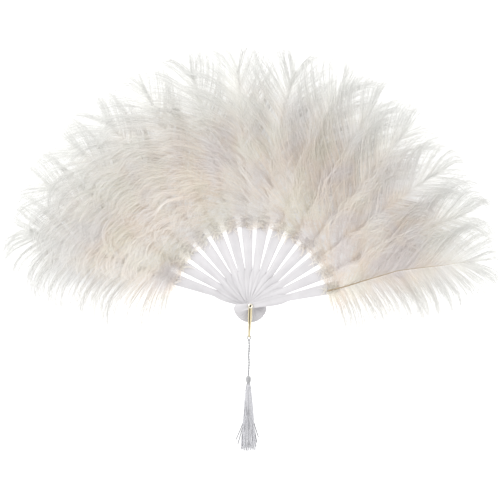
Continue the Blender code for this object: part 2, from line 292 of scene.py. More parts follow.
hitch_centre = np.array([
    HITCH_REACH * math.sin(BAIL_LEAN), -HITCH_REACH * math.cos(BAIL_LEAN), HITCH_HEIGHT,
])
turn = np.linspace(0, 2 * math.pi, HITCH_STEPS)
outward = np.stack([np.cos(turn), np.sin(turn), np.zeros(HITCH_STEPS)], axis=1)
hitch_strands = []
for ply in range(PLIES):
    twist = HITCH_TWISTS * turn + ply * math.pi
    centres = hitch_centre + outward * (HITCH_RADIUS + HITCH_PLY_OFFSET * np.cos(twist))[:, None]
    centres[:, 2] += HITCH_PLY_OFFSET * np.sin(twist)
    hitch_strands.append(round_strand(centres, HITCH_PLY_RADIUS, 6))
knot_x, knot_y, knot_z = CORD_ROUTE[0]
knot = coil(knot_x, knot_y + KNOT_ABOVE, knot_y - KNOT_BELOW, knot_z, KNOT_RADIUS, KNOT_TURNS, 60)
hitch_strands.append(round_strand(knot, KNOT_STRAND_RADIUS, 8))
hitch = joined_piece("tassel_hitch_loop", hitch_strands, cord_white_painted_shade)
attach(hitch, "bail")
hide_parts("tassel_hitch")

# Tassel head. A hank of white rayon thread is folded over the cord, so that its threads run down
# over a padded ball, and is bound tightly at the neck below it.
TASSEL_X = -0.0026
TASSEL_HEAD_TOP = -0.0926
TASSEL_HEIGHT = 0.0033
HEAD_AT = (0, 0.0008, 0.0026, 0.0050, 0.0071, 0.0083, 0.0098)
HEAD_RADIUS = (0.0010, 0.0024, 0.0031, 0.0031, 0.0027, 0.0019, 0.0018)
HEAD_STEPS = 16
HEAD_THREADS = 34
HEAD_THREAD_RADIUS = 0.00031
HEAD_THREAD_SUNK = 0.00018
HEAD_PADDING_SUNK = 0.00028
# The threads turn round the ball by so many radians a metre.
HEAD_SLANT = 60
NECK_START = 0.0077
NECK_END = 0.0102
NECK_RADIUS = 0.00195
NECK_TURNS = 6
NECK_THREAD_RADIUS = 0.00026
# The head's wound thread is a darker copy of the skirt's white thread, as painted shade of its tight
# winding.
thread_wound_painted_shade = thread_finish("thread_wound_painted_shade", (0.46, 0.46, 0.47), 0.5)
down_head = np.linspace(0, HEAD_AT[-1], HEAD_STEPS)
around = np.interp(down_head, HEAD_AT, HEAD_RADIUS)
axis_points = np.stack([
    np.full(HEAD_STEPS, TASSEL_X), TASSEL_HEAD_TOP - down_head, np.full(HEAD_STEPS, TASSEL_HEIGHT)
], axis=1)
head_strands = [round_strand(axis_points, around - HEAD_PADDING_SUNK, 18)]
for thread in range(HEAD_THREADS):
    turn = 2 * math.pi * thread / HEAD_THREADS + HEAD_SLANT * down_head
    out = np.stack([np.cos(turn), np.zeros(HEAD_STEPS), np.sin(turn)], axis=1)
    centres = axis_points + out * (around - HEAD_THREAD_SUNK)[:, None]
    head_strands.append(round_strand(centres, HEAD_THREAD_RADIUS, 5))
neck = coil(TASSEL_X, TASSEL_HEAD_TOP - NECK_START, TASSEL_HEAD_TOP - NECK_END, TASSEL_HEIGHT,
            NECK_RADIUS, NECK_TURNS, 110)
head_strands.append(round_strand(neck, NECK_THREAD_RADIUS, 6))
head = joined_piece("tassel_head_ball", head_strands, thread_wound_painted_shade)
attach(head, "bail")
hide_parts("tassel_head")

# Tassel skirt. The hank's cut threads fan out below the neck and lie on the table; their ends
# are trimmed unevenly, and they gather in a few bundles with narrow gaps between them.
SKIRT_TOP = -0.1016
SKIRT_AT = (0, 0.009, 0.022, 0.040, 0.056, 0.070, 0.086)
SKIRT_HALF_WIDTH = (0.0017, 0.0036, 0.0048, 0.0062, 0.0075, 0.0087, 0.0096)
SKIRT_HALF_HEIGHT = (0.0016, 0.0025, 0.0030, 0.0033, 0.0034, 0.0034, 0.0031)
SKIRT_THREADS = 210
SKIRT_LENGTHS = (0.0805, 0.0890)
SHORT_THREADS = 12
SHORT_LENGTHS = (0.070, 0.080)
BUNDLES_A_SIDE = 4
BUNDLED = 0.45
SWAY = 0.00035
THREAD_RADIUS = 0.00024
THREAD_STEPS = 15
thread_white = thread_finish("thread_white", (0.70, 0.70, 0.73), 0.5)
rng = np.random.default_rng(12)
skirt_strands = []
for thread in range(SKIRT_THREADS):
    distance = math.sqrt(rng.uniform(0.05, 1))
    turn = rng.uniform(0, 2 * math.pi)
    long = rng.uniform(*SKIRT_LENGTHS)
    if thread < SHORT_THREADS:
        long = rng.uniform(*SHORT_LENGTHS)
    down = np.linspace(0, long, THREAD_STEPS)
    side = distance * math.cos(turn)
    bundle = round(side * BUNDLES_A_SIDE) / BUNDLES_A_SIDE
    side_along = side + (bundle - side) * BUNDLED * np.clip(down / 0.07, 0, 1)
    wave = np.sin(down * rng.uniform(90, 190) + rng.uniform(0, 6.28))
    sway = SWAY * wave * np.clip(down / 0.03, 0, 1)
    half_height = np.interp(down, SKIRT_AT, SKIRT_HALF_HEIGHT)
    # The threads come down from the neck's height until they lie on the table.
    lie = np.maximum(half_height + 0.0003, TASSEL_HEIGHT * (1 - down / 0.040))
    x = TASSEL_X + np.interp(down, SKIRT_AT, SKIRT_HALF_WIDTH) * side_along + sway
    z = lie + half_height * distance * math.sin(turn) * (1 - 0.35 * np.abs(side_along))
    centres = np.stack([x, SKIRT_TOP - down, np.maximum(z, 0.0004)], axis=1)
    skirt_strands.append(round_strand(centres, THREAD_RADIUS, 4))
skirt = joined_piece("tassel_skirt_threads", skirt_strands, thread_white)
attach(skirt, "bail")
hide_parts("tassel_skirt")

# Stray threads. A few of the skirt's threads have come away from the rest near their ends, which
# lie beside the skirt on the table.
STRAY_ENDS = (
    (-0.0188, -0.1760), (-0.0165, -0.1820), (-0.0105, -0.1700), (0.0085, -0.1800), (0.0105, -0.1725),
    (-0.0112, -0.1880), (0.0075, -0.1850),
)
STRAY_RADIUS = 2.3 * THREAD_RADIUS
STRAY_HEIGHT_AT = (0, 0.3, 0.75, 1)
STRAY_HEIGHT = (0.0033, 0.0026, 0.0018, 0.0006)
# A stray thread starts inside the skirt's edge and leaves it two thirds of the way down.
STRAY_START = 0.9
STRAY_LEAVES = 0.66
STRAY_FREE = 0.34
# The stray threads are a dark copy of the white thread, as painted shade, so that they read as grey lines
# on the glowing table.
thread_stray_painted_shade = thread_finish("thread_stray_painted_shade", (0.24, 0.24, 0.26), 0.6)
stray_strands = []
for end_x, end_y in STRAY_ENDS:
    share = np.linspace(0, 1, THREAD_STEPS)
    down = (SKIRT_TOP - end_y) * share
    edge = STRAY_START if end_x > TASSEL_X else -STRAY_START
    start_x = np.interp(down, SKIRT_AT, SKIRT_HALF_WIDTH) * edge
    away = np.clip((share - STRAY_LEAVES) / STRAY_FREE, 0, 1) ** 1.2
    x = TASSEL_X + start_x + (end_x - TASSEL_X - start_x[-1]) * away
    z = np.interp(share, STRAY_HEIGHT_AT, STRAY_HEIGHT)
    stray_strands.append(round_strand(np.stack([x, SKIRT_TOP - down, z], axis=1), STRAY_RADIUS, 5))
strays = joined_piece("tassel_stray_threads", stray_strands, thread_stray_painted_shade)
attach(strays, "bail")

# Bail. A strip of thin brass is pressed with a groove along its front and bent into a stirrup,
# whose two pierced ends go over the eyelet in front of the sticks and behind them.
BAIL_THICKNESS = 0.0007
BAIL_EDGE = 0.00012
BAIL_GROOVE = 0.00026
EYE_HOLE_RADIUS = 0.0019
# The strip's middle, as distance below the pivot and height in mm, from the front eye round the
# bend to the back eye, then its half width in mm by that distance.
FRONT_HEIGHT = 23.6
BACK_HEIGHT = 1.5
BAIL_PATH = (
    *((reach, FRONT_HEIGHT) for reach in (-2.9, -2.6, -2.0, -1.0, 0, 3, 7, 12, 17, 22)),
    (25, 23.4), (27.5, 22.4), (31, 19.2), (35, 14.7), (39, 10.2), (41, 8.1), (41.6, 7.0), (41.6, 4.0),
    (41.0, 2.9), (39.6, 2.0), *((reach, BACK_HEIGHT) for reach in (37, 24, 12, 3, -1.0, -2.0, -2.9)),
)
EYE_REACH = 2.9
EYE_END = 0.9
BAIL_WIDTH_AT = (0, 3, 20, 25, 39, 41)
BAIL_HALF_WIDTH = (EYE_REACH, 2.4, 2.4, 1.4, 1.3, 1.1)
# The groove lies left of the strip's middle, by shares of its half width, and runs down the front
# from below the eye to the bend.
GROOVE_AT = -0.25
GROOVE_HALF_WIDTH = 0.5
GROOVE_START = 2
BEND_STEP = 17
SMOOTH_ANGLE = math.radians(40)
SHARP_ANGLE = math.radians(50)


def bail_half_width(reach):
    """Half the strip's width in mm: round the eyelet, wide down the front, narrow at the bend."""
    if reach < 0:
        return math.sqrt(max(EYE_REACH**2 - reach**2, EYE_END**2))
    return float(np.interp(reach, BAIL_WIDTH_AT, BAIL_HALF_WIDTH))


def pick_only(piece):
    """Selects one piece alone and makes it active."""
    bpy.ops.object.select_all(action="DESELECT")
    bpy.context.view_layer.objects.active = piece
    piece.select_set(True)


def round_edges(piece, width):
    """A rounding of the piece's sharp edges, to be applied by its name, edges."""
    rounding = piece.modifiers.new("edges", "BEVEL")
    rounding.width = width
    rounding.segments = 2
    rounding.limit_method = "ANGLE"
    rounding.angle_limit = SHARP_ANGLE
    return rounding


def add_layer(mesh, name, values):
    """Keeps a number for each point of a mesh, which its material reads."""
    layer = mesh.attributes.new(name, "FLOAT", "POINT")
    layer.data.foreach_set("value", np.asarray(values, np.float32))


def brass_with_groove_shade():
    """Polished brass with fine drawn lines, and painted shade darkening the pressed groove."""
    finish, nodes, shader = new_finish("bail_brass", Metallic=1)
    place = add_node(nodes, "TexCoord")
    drawn = add_node(nodes, "Mapping", Scale=(4000, 90, 900))
    lines = add_node(nodes, "TexNoise", Scale=1)
    rough = add_node(nodes, "MapRange", To_Min=0.20, To_Max=0.38)
    groove = add_node(nodes, "Attribute", {"attribute_name": "groove"})
    edge = add_node(nodes, "MapRange", From_Min=0.25, From_Max=0.75)
    # Down the groove the colour goes nearly black: painted shade in its hollow.
    colour = add_node(nodes, "Mix", {"data_type": "RGBA"},
                      A=(0.80, 0.70, 0.46, 1), B=(0.035, 0.028, 0.010, 1))
    link(place, "Object", drawn, "Vector")
    link(drawn, "Vector", lines, "Vector")
    link(lines, "Fac", rough, "Value")
    link(rough, 0, shader, "Roughness")
    link(groove, "Fac", edge, "Value")
    link(edge, 0, colour, "Factor")
    link(colour, "Result", shader, "Base Color")
    return finish


bpy.ops.object.select_all(action="DESELECT")
last = len(BAIL_PATH) - 1
bpy.ops.mesh.primitive_grid_add(x_subdivisions=8, y_subdivisions=last, size=1)
bail = bpy.context.object
bail.name = "bail_strip"
groove_amounts = []
for vertex in bail.data.vertices:
    step = round((vertex.co.y + 0.5) * last)
    reach, height = BAIL_PATH[step]
    part = 2 * vertex.co.x
    before = BAIL_PATH[max(step - 1, 0)]
    after = BAIL_PATH[min(step + 1, last)]
    run = unit(np.array([after[0] - before[0], after[1] - before[1]]))
    groove = max(0.0, min(1.0, 1.5 - 1.5 * abs(part - GROOVE_AT) / GROOVE_HALF_WIDTH))
    if reach <= GROOVE_START or step >= BEND_STEP:
        groove = 0.0
    groove_amounts.append(groove)
    sunk = 1000 * BAIL_GROOVE * groove
    across = part * bail_half_width(reach)
    vertex.co = (across / 1000, -(reach + sunk * run[1]) / 1000, (height - sunk * run[0]) / 1000)
add_layer(bail.data, "groove", groove_amounts)
solid = bail.modifiers.new("thickness", "SOLIDIFY")
solid.thickness = BAIL_THICKNESS
solid.offset = 0
solid.use_even_offset = True
bpy.ops.mesh.primitive_cylinder_add(vertices=32, radius=EYE_HOLE_RADIUS, depth=0.06, location=(0, 0, 0.01))
punch = bpy.context.object
pick_only(bail)
hole = bail.modifiers.new("holes", "BOOLEAN")
hole.operation = "DIFFERENCE"
hole.object = punch
round_edges(bail, BAIL_EDGE)
for modifier in ("thickness", "holes", "edges"):
    bpy.ops.object.modifier_apply(modifier=modifier)
bpy.data.objects.remove(punch)
bpy.ops.object.shade_smooth_by_angle(angle=SMOOTH_ANGLE)
bail.rotation_euler.z = BAIL_LEAN
bpy.ops.object.transform_apply(rotation=True)
bail.data.materials.clear()
bail.data.materials.append(brass_with_groove_shade())
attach(bail, "bail")
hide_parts("bail")

# Eyelet. A thin brass tube goes through the bail's eyes and all the sticks; its front end is
# rolled over into a round lip and its back end is pressed flat, so that nothing comes off.
WELD = 0.00002
EYELET_SIDES = 40
# Distance from the axis and height in mm. Inside the bore, above its closed back, it is painted near
# black, as shade.
EYELET_PROFILE = (
    (0, 4.0), (1.1, 4.0), (1.1, 24.3), (1.18, 24.75), (1.45, 25.1), (1.9, 25.28), (2.35, 25.25),
    (2.8, 25.05), (3.12, 24.75), (3.25, 24.4), (3.1, 24.3), (1.6, 24.3), (1.6, 0.8), (3.05, 0.8),
    (3.2, 0.65), (3.2, 0.25), (2.95, 0), (0, 0),
)
BORE_RADIUS = 0.00112
BORE_BACK = 0.0035
eyelet_bright, nodes, shader = new_finish("eyelet_brass", Metallic=1)
place = add_node(nodes, "TexCoord")
wear = add_node(nodes, "TexNoise", Scale=700)
tint = add_ramp(nodes, (0, (0.86, 0.79, 0.62)), (1, (0.93, 0.90, 0.80)))
rough = add_node(nodes, "MapRange", To_Min=0.14, To_Max=0.30)
link(place, "Object", wear, "Vector")
link(wear, "Fac", tint, "Fac")
link(tint, "Color", shader, "Base Color")
link(wear, "Fac", rough, "Value")
link(rough, 0, shader, "Roughness")
# The bore's inside is a near-black colour: painted shade deep in the tube.
eyelet_painted_shade, _, _ = new_finish("eyelet_inside_painted_shade", Base_Color=(0.012, 0.010, 0.008, 1), Roughness=0.9)
mesh = bpy.data.meshes.new("eyelet_rolled")
mesh.from_pydata([(reach / 1000, 0, height / 1000) for reach, height in EYELET_PROFILE],
                 [(k, k + 1) for k in range(len(EYELET_PROFILE) - 1)], [])
eyelet = place_mesh("eyelet_rolled", mesh)
pick_only(eyelet)
bpy.ops.object.mode_set(mode="EDIT")
bpy.ops.mesh.select_all(action="SELECT")
bpy.ops.mesh.spin(steps=EYELET_SIDES, angle=2 * math.pi, center=(0, 0, 0), axis=(0, 0, 1))
bpy.ops.mesh.select_all(action="SELECT")
bpy.ops.mesh.remove_doubles(threshold=WELD)
bpy.ops.mesh.normals_make_consistent(inside=False)
bpy.ops.object.mode_set(mode="OBJECT")
bpy.ops.object.shade_smooth_by_angle(angle=SMOOTH_ANGLE)
mesh.materials.append(eyelet_bright)
mesh.materials.append(eyelet_painted_shade)
for face in mesh.polygons:
    if face.center.z > BORE_BACK and math.hypot(face.center.x, face.center.y) < BORE_RADIUS:
        face.material_index = 1
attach(eyelet, "leaf_07")
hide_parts("pivot_pin")

# Sticks. Fourteen flat sticks are moulded in thin white plastic, each with a leaf-shaped swelling,
# a rounded tail and soft edges, and are stacked on the eyelet with the leftmost at the back.
STICKS = 14
STICK_EDGE = 0.0003


def let_light_through(nodes, shader, tint, output, amount):
    """Lets some of the light pass through a thin wall, tinted as the wall is."""
    through = add_node(nodes, "BsdfTranslucent")
    both = add_node(nodes, "MixShader", Fac=amount)
    link(tint, output, through, "Color")
    link(shader, 0, both, 1)
    link(through, 0, both, 2)
    link(both, 0, nodes["Material Output"], "Surface")


def stick_finish():
    """Milky plastic: nearly even, with faint flow marks from the mould and a satin face."""
    finish, nodes, shader = new_finish("stick_plastic", Specular_IOR_Level=0.4)
    place = add_node(nodes, "TexCoord")
    flow = add_node(nodes, "TexNoise", Scale=60, Detail=5)
    tint = add_ramp(nodes, (0.35, (0.655, 0.64, 0.655)), (0.65, (0.70, 0.685, 0.70)))
    rough = add_node(nodes, "MapRange", To_Min=0.32, To_Max=0.48)
    grain = add_node(nodes, "TexNoise", Scale=1500)
    bump = add_node(nodes, "Bump", Strength=0.08, Distance=0.0001)
    link(place, "Object", flow, "Vector")
    link(place, "Object", grain, "Vector")
    link(flow, "Fac", tint, "Fac")
    link(tint, "Color", shader, "Base Color")
    link(flow, "Fac", rough, "Value")
    link(rough, 0, shader, "Roughness")
    link(grain, "Fac", bump, "Height")
    link(bump, "Normal", shader, "Normal")
    let_light_through(nodes, shader, tint, "Color", 0.15)
    return finish


stick_white = stick_finish()
for index in range(STICKS):
    node = f"stick_{index + 1:02d}"
    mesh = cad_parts[node].data.copy()
    mesh.materials.clear()
    mesh.materials.append(stick_white)
    stick = place_mesh(node + "_moulded", mesh)
    pick_only(stick)
    bpy.ops.object.mode_set(mode="EDIT")
    bpy.ops.mesh.select_all(action="SELECT")
    bpy.ops.mesh.remove_doubles(threshold=WELD)
    bpy.ops.mesh.dissolve_limited(angle_limit=math.radians(2))
    bpy.ops.object.mode_set(mode="OBJECT")
    rounding = round_edges(stick, STICK_EDGE)
    rounding.harden_normals = True
    bpy.ops.object.modifier_apply(modifier="edges")
    bpy.ops.object.shade_smooth_by_angle(angle=SMOOTH_ANGLE)
    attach(stick, f"leaf_{index + 1:02d}")
    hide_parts(node)

# Plumes. Each is one ostrich feather: a tan quill with two vanes of long soft barbs, and each
# barb is fringed with fine downy barbules that never hook together, so the vane stays loose.
# The quill's cut end is glued to its own stick, and each plume lies over its left neighbour.
PLUMES = STICKS
# Sizes in this section are in mm and degrees, until the mesh is made. The first stick points to
# the left and the last to the right, and a plume's left side is the one towards the first.
FIRST_ANGLE = 161.0
LAST_ANGLE = 12.5
STICK_STEP = (FIRST_ANGLE - LAST_ANGLE) / (PLUMES - 1)
FIRST_STICK_TOP = 3.4
STICK_PITCH = 1.5
PLUME_START = 101.0
QUILL_LENGTH = 195.0
TIP_BEYOND_QUILL = 52.0
# Sideways lean of each tip, left being positive, and the tip's distance from the pivot.
PLUME_TIPS = (
    (-0.2, 338), (-0.8, 342), (-1.0, 338), (1.2, 338), (0.9, 348), (0.2, 350), (0.8, 354),
    (-2.5, 354), (-4.4, 357), (0.5, 344), (2.7, 342), (0.7, 338), (-0.9, 342), (-0.2, 336),
)
# The last plume's quill, which nothing covers, bends so far to the left at these distances.
LAST_QUILL_AT = (101, 158, 195, 252, 328)
LAST_QUILL_LEAN = (-1.4, 0.1, 0.9, -0.6, -1.5)
# By distance from the pivot: half a plume's thickness, its slope to the side for each degree, and
# the height of its middle where only other plumes carry it.
THICK_AT = (101, 104, 118, 126, 136, 150, 180, 230, 280, 310, 340)
HALF_THICK = (0.8, 1.5, 2.2, 3.0, 4.2, 5.2, 5.6, 5.4, 4.4, 3.2, 2.0)
SLOPE_AT = (116, 122, 128, 138, 230, 300, 340)
SLOPE = (0.0, 0.15, 0.62, 1.10, 1.10, 0.85, 0.60)
SLOPE_LIMITS = (-14, 11)
LOOSE_AT = (150, 240, 300, 340)
LOOSE_HEIGHT = (13.5, 13.5, 11.5, 8.5)
STICK_GAP = 0.35
LEAVES_STICK = (118, 155)
LOWEST_BARB = 0.4
LOWEST_DOWN = 0.2
# The barbs leave the quill at these angles on its left and right side, and end at the next two.
# They stand out from it near its foot and lie along it near its tip. Each plume's ends are turned
# to the left by so many degrees, so that they droop away from the fan's middle.
LEAVE_ANGLE = (50, 42)
ARRIVE_ANGLE = (46, 34)
FOOT_LEAVE = 84
FOOT_ARRIVE = 92
FIRST_FOOT_ARRIVE = 112
TIP_LEAVE = 14
TIP_ARRIVE = 24
ENDS_TURNED = (46, 56, 58, 50, 42, 30, 14, -6, -9, -15, -20, -23, -25, -22)
# How wide the vanes are, by share of the quill's length: the covered ones on the left and right
# of a quill, and the outer vanes of the first and last plume.
WIDTH_AT = (0, 0.02, 0.05, 0.10, 0.15, 0.21, 0.32, 0.43, 0.60, 0.80)
WIDTH_LEFT = (22, 25, 30, 37, 45, 55, 67, 76, 80, 80)
WIDTH_RIGHT = (16, 18, 21, 24, 28, 34, 43, 52, 60, 60)
WIDTH_FIRST = (62, 68, 80, 90, 98, 104, 106, 104, 98, 74)
WIDTH_LAST = (50, 56, 62, 66, 68, 69, 71, 72, 71, 66)
LONGEST_BARB = 110.0
# The barbs nearest the tip end on a round dome, so deep along the quill.
DOME_DEPTH = 72.0
# The fan's outline: past this distance the barbs curl back, the outermost plumes' a little sooner.
OUTLINE = 324
OUTLINE_AT_ENDS = 314
OUTLINE_SPREAD = 6
OUTLINE_CURL = 18
# Barbs of an outer vane, which nothing covers, of one on the left and of one on the right, which
# lies under its neighbour, and of the tuft at the foot.
BARBS_OUTER = 620
BARBS_LEFT = 390
BARBS_RIGHT = 232
TUFT_BARBS = 24
TUFT_LENGTH = 16
TUFT_SPREAD = 3.6
LOCKS_A_VANE = 15
STRAYS = 0.12
# A bend is how a barb turns where it leaves the quill, curls along its length and hooks at its
# end. The bends of locks, of their strands, of barbs and of stray barbs differ by so much.
LOCK_SPREAD = np.array([[4], [10], [11]])
STRAND_SPREAD = np.array([[2.5], [6], [8]])
BARB_SPREAD = np.array([[2], [5], [5]])
STRAY_SPREAD = np.array([[9], [20], [26]])
BARB_STEPS = 9
ALONG = np.linspace(0, 1, BARB_STEPS)[None, :]
BARB_WIDTH = 0.50
BARB_TAPER_AT = (0, 0.3, 0.75, 1)
BARB_TAPER = (0.9, 1.0, 0.8, 0.35)
BARBULES_A_BARB = 80
BARBULE_SLANT = (32, 62)
BARBULE_WIDTH = (0.20, 0.34)
BARBULE_AT = (0, 1, 4, 6, 8)
BARBULE_LENGTH = (3.0, 4.2, 3.5, 2.1, 1.0)
# Steps of light: how much lighter the down is on each plume's lower half, and how much darker
# the bare shaft of a barb that lies clear of the others.
PLUME_SHADE = (0.4, 0.4, 0.4, 0.3, 0, -0.4, -0.7, -0.6, -0.7, -1.7, -1.0, -0.5, -0.2, -0.1)
SHAFT_SHADE = 5.2
QUILL_RADIUS = (1.05, 0.16)
QUILL_STEPS = 40
QUILL_SIDES = 8


def ease(value, low, high):
    """0 below low, 1 above high and an S-curve between."""
    share = np.clip((value - low) / (high - low), 0, 1)
    return share * share * (3 - 2 * share)


def is_outer(index, side):
    """Whether a vane is at the fan's end: the first plume's left one or the last one's right."""
    return index == 0 and side > 0 or index == PLUMES - 1 and side < 0


def plume_bed(index, reach, lean):
    """Height of the middle of a plume, and its half thickness, where it lies."""
    half = np.interp(reach, THICK_AT, HALF_THICK)
    slope = np.interp(reach, SLOPE_AT, SLOPE)
    bed = FIRST_STICK_TOP + index * STICK_PITCH + STICK_GAP + half
    loose = np.interp(reach, LOOSE_AT, LOOSE_HEIGHT)
    middle = bed + (loose - bed) * ease(reach, *LEAVES_STICK)
    side = slope * np.clip(lean, *SLOPE_LIMITS)
    if index == 0:
        # Nothing lies under the first plume's outer vane, and it comes down to the table.
        droop = np.minimum(lean, 5) - 0.75 * np.maximum(lean - 5, 0)
        side = np.where(lean > 0, slope * droop, side)
    if index == PLUMES - 1:
        side = np.where(lean < 0, 0.62 * side, side)
    return middle + side, half


def quill_lean(index, reach):
    """Degrees that the quill has bent to the left of its stick at a distance from the pivot."""
    if index == PLUMES - 1:
        return np.interp(reach, LAST_QUILL_AT, LAST_QUILL_LEAN)
    tip_lean, tip = PLUME_TIPS[index]
    return tip_lean * np.clip((reach - PLUME_START) / (tip - PLUME_START), 0, 1.2) ** 2


def quill_point(index, share):
    """A point of the quill in the plume's own plane, X along the stick, and its direction."""
    end = PLUME_TIPS[index][1] - TIP_BEYOND_QUILL + 0.3 * abs(ENDS_TURNED[index])
    reach = PLUME_START + (end - PLUME_START) * share
    points = []
    for at in (reach, reach + 2):
        lean = np.radians(quill_lean(index, at))
        points.append(np.stack([at * np.cos(lean), at * np.sin(lean)], axis=-1))
    step = points[1] - points[0]
    return points[0], np.arctan2(step[..., 1], step[..., 0])


def to_frame(index, x, y, z):
    """Turns a plume's own plane onto its stick."""
    azimuth = math.radians(FIRST_ANGLE - index * STICK_STEP)
    across = x * math.cos(azimuth) - y * math.sin(azimuth)
    return np.stack([across, x * math.sin(azimuth) + y * math.cos(azimuth), z], axis=-1)


def dome_length(index, root, end, wide, length):
    """Shortens or lengthens the barbs that end past the dome's middle, so that they end on it."""
    middle, _ = quill_point(index, 1 - (DOME_DEPTH - TIP_BEYOND_QUILL) / QUILL_LENGTH)
    _, way = quill_point(index, 1.0)
    along = np.array((math.cos(way), math.sin(way)))
    across = np.array((-math.sin(way), math.cos(way)))
    from_middle = root - middle
    start = np.stack([from_middle @ along / DOME_DEPTH, from_middle @ across / wide], axis=-1)
    step = np.stack([end @ along / DOME_DEPTH, end @ across / wide], axis=-1)
    # The dome is an ellipse, and a straight barb meets it at a root of a quadratic.
    a = np.sum(step * step, axis=-1)
    b = np.sum(start * step, axis=-1)
    c = np.sum(start * start, axis=-1) - 1
    on_dome = (np.sqrt(np.maximum(b * b - a * c, 0)) - b) / a
    past = start[..., 0] + length * step[..., 0]
    return np.where((past > 0) & (b * b > a * c), on_dome, length)


def sweep_barbs(index, side, share, bend, stretch):
    """Centre lines of barbs in the plume's own plane: how each leaves the quill, bends and ends."""
    turn, curl, hook = bend
    turned = ENDS_TURNED[index]
    run_in = 0.7
    if side > 0:
        widths = WIDTH_LEFT if index > 0 else WIDTH_FIRST
        leave = LEAVE_ANGLE[0]
        arrive = ARRIVE_ANGLE[0] + turned
    elif index < PLUMES - 1:
        widths = WIDTH_RIGHT
        leave = LEAVE_ANGLE[1]
        arrive = ARRIVE_ANGLE[1] - 0.6 * turned
    else:
        # The last plume's outer barbs leave its bare quill straight.
        widths = WIDTH_LAST
        run_in, leave, arrive = 0.0, 70 - 18 * share, 88 - 26 * share
    root, ahead = quill_point(index, share)
    near_base = 1 - ease(share, 0, 0.2)
    near_tip = ease(share, 0.72, 1.0)
    foot_arrive = FIRST_FOOT_ARRIVE if index == 0 else FOOT_ARRIVE
    tip_turn = (0.25 if turned > 0 else 0.55) * side * turned
    leave = leave + (FOOT_LEAVE - leave) * near_base
    leave = leave + (TIP_LEAVE + tip_turn - leave) * near_tip + turn * (1 + 1.1 * near_tip)
    arrive = arrive + (foot_arrive - arrive) * near_base * 0.8
    arrive = arrive + (TIP_ARRIVE + 1.4 * tip_turn - arrive) * near_tip + curl
    angle = leave[:, None] + (arrive - leave)[:, None] * ALONG**1.2
    start = 1 - run_in * (1 - near_tip[:, None]) * (1 - ease(ALONG, -0.05, 0.28))
    # Near their tips the plumes on the left are straighter, and those on the right curl more.
    hook = hook * (1 + (-0.5 if turned > 0 else 0.3) * near_tip)
    angle = np.radians((angle + hook[:, None] * ease(ALONG, 0.6, 1)) * start)
    facing = ahead[:, None] + side * angle
    moves = np.stack([np.cos(facing), np.sin(facing)], axis=-1) / (BARB_STEPS - 1)
    path = np.cumsum(moves, axis=1) - moves[:, :1]
    narrower = np.interp(index, (4, 9), (1.0, 0.85)) if side > 0 and index > 0 else 1.0
    wide = np.interp(share, WIDTH_AT, widths) * narrower
    length = wide / np.maximum(np.mean(np.abs(np.sin(angle)), axis=1), 0.4)
    length = np.minimum(dome_length(index, root, path[:, -1], wide, length), LONGEST_BARB)
    return root[:, None] + path * (length * stretch)[:, None, None]


def crowd(share, index, side):
    """Spaces barbs closest near the tip, and on the first plume's outer vane near its foot too."""
    if side > 0:
        return share**0.80 if index > 0 else share - 0.14 * np.sin(2 * np.pi * share) / (2 * np.pi)
    return share ** (0.93 if index == PLUMES - 1 else 0.72)


def spread(share):
    """How uneven the barbs' lengths are: the barbs nearest the tip are the most even."""
    return 1 - 0.5 * ease(share, 0.7, 0.95)


def shade_vane(index, outer, share, reach, tone):
    """Tone and warmth along the barbs of a vane, and how clear of the others each one lies."""
    tone += PLUME_SHADE[index] * (1 - ease(share, 0.45, 0.8))
    if not outer:
        # The feet of the plumes on the left are the darkest down.
        tone -= np.interp(index, (0, 6, 9), (2.0, 2.0, 0)) * (1 - ease(share, 0.04, 0.26))
    # The valley over the quill lies in shade, and the free ends catch the light.
    valley = (1.0 if outer else 2.4) * (1 - 0.6 * ease(share, 0.6, 0.9))
    tone = tone[:, None] + valley[:, None] * (ALONG - 0.5)
    warm = (1 - 0.5 * ease(ALONG, 0.4, 1)) * (1 - ease(reach, 190, 315))
    if outer:
        warm *= 0.85 - 0.7 * ease(ALONG, 0.1, 0.7)
    else:
        warm *= np.interp(index, (0, 7, 11), (0.85, 1.0, 1.35))
    low, high = (100, 110) if outer else (150, 260)
    return tone, warm, ease(ALONG, 0.15, 0.5) * ease(reach, low, high)


